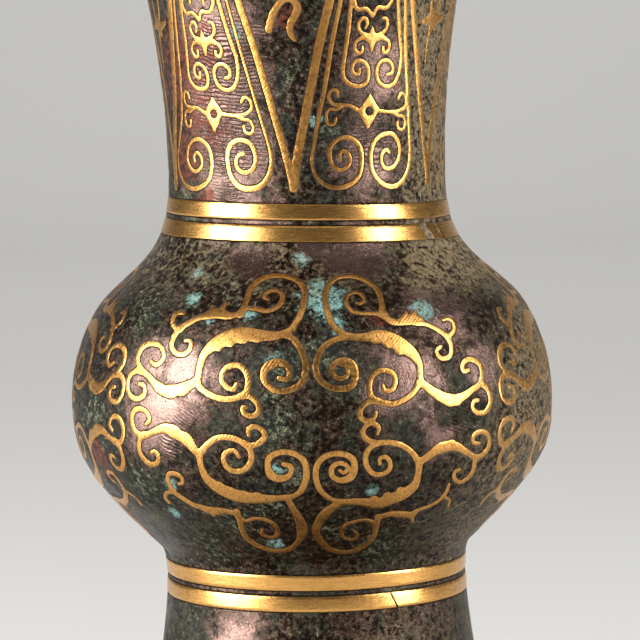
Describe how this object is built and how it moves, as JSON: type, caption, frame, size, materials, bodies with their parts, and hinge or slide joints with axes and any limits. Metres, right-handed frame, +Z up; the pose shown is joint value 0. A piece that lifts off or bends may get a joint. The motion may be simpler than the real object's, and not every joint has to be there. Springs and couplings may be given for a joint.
{
  "type": "gu vase",
  "caption": "Tall gu vase with a trumpet mouth, round belly and spreading hollow foot, its dark bronze skin inlaid with gold bands, blades and scrolls.",
  "frame": {"origin": "centre of the foot rim, on the surface that the vase stands on", "axes": "+Z up along the vase's axis; the front of the inlay faces -Y"},
  "size_m": [0.122, 0.122, 0.22],
  "materials": {
    "bronze": "dark patinated bronze, satin, with malachite and earth",
    "floor_bronze": "dull patinated bronze",
    "gold": "brushed gold"
  },
  "bodies": {
    "root": {"foot_casting": "bronze", "belly_casting": "bronze", "neck_casting": "bronze", "floor_plate": "floor_bronze", "neck_ring_upper": "gold", "neck_ring_patch": "gold", "neck_ring_lower": "gold", "foot_ring_upper": "gold", "foot_ring_lower": "gold", "neck_chevron_1": "gold", "neck_chevron_2": "gold", "neck_chevron_3": "gold", "neck_chevron_4": "gold", "neck_chevron_5": "gold", "neck_chevron_6": "gold", "neck_blade_line_1": "gold", "neck_blade_line_2": "gold", "neck_blade_line_3": "gold", "neck_blade_line_4": "gold", "neck_blade_line_5": "gold", "neck_blade_line_6": "gold", "neck_lozenge_1": "gold", "neck_lozenge_2": "gold", "neck_lozenge_3": "gold", "neck_lozenge_4": "gold", "neck_lozenge_5": "gold", "neck_lozenge_6": "gold", "belly_scroll_1_upper_left": "gold", "belly_scroll_1_upper_right": "gold", "belly_scroll_1_lower_left": "gold", "belly_scroll_1_lower_right": "gold", "belly_scroll_2_upper_left": "gold", "belly_scroll_2_upper_right": "gold", "belly_scroll_2_lower_left": "gold", "belly_scroll_2_lower_right": "gold", "belly_scroll_3_upper_left": "gold", "belly_scroll_3_upper_right": "gold", "belly_scroll_3_lower_left": "gold", "belly_scroll_3_lower_right": "gold", "belly_scroll_4_upper_left": "gold", "belly_scroll_4_upper_right": "gold", "belly_scroll_4_lower_left": "gold", "belly_scroll_4_lower_right": "gold"}
  },
  "joints": []
}
